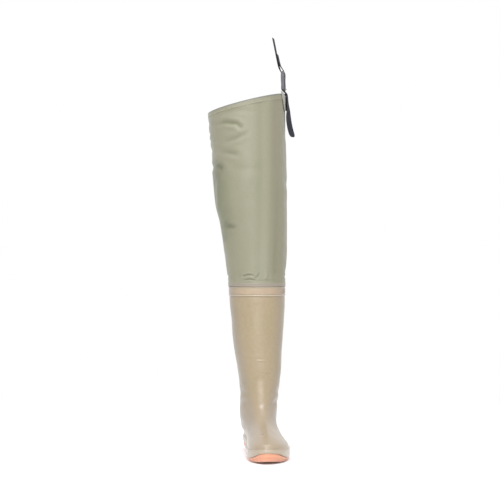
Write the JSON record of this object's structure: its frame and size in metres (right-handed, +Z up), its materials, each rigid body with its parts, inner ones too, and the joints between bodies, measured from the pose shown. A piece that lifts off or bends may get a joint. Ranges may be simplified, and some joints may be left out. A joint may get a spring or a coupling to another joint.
{
  "type": "hip wader",
  "caption": "Left hip wader: moulded boot with a welded coated-fabric leg to the thigh, slanted collar, and a webbing strap with a slide buckle on the outer side.",
  "frame": {"origin": "on the floor under the middle of the heel tread", "axes": "+Z up the leg, toe towards -Y, outer side of the foot (the wearer's left) towards +X"},
  "size_m": [0.1971, 0.3421, 0.9432],
  "materials": {
    "sole_pvc": "moulded PVC, satin",
    "boot_pvc": "moulded PVC, semi-gloss",
    "footbed": "felt",
    "leg_fabric": "coated nylon, low sheen",
    "webbing": "woven",
    "buckle_plastic": "moulded, satin"
  },
  "bodies": {
    "root": {"outsole": "sole_pvc", "upper": "boot_pvc", "insole": "footbed", "leg": "leg_fabric", "strap_tab": "leg_fabric", "strap_upper": "webbing", "strap_lower": "webbing", "buckle": "buckle_plastic"}
  },
  "joints": []
}
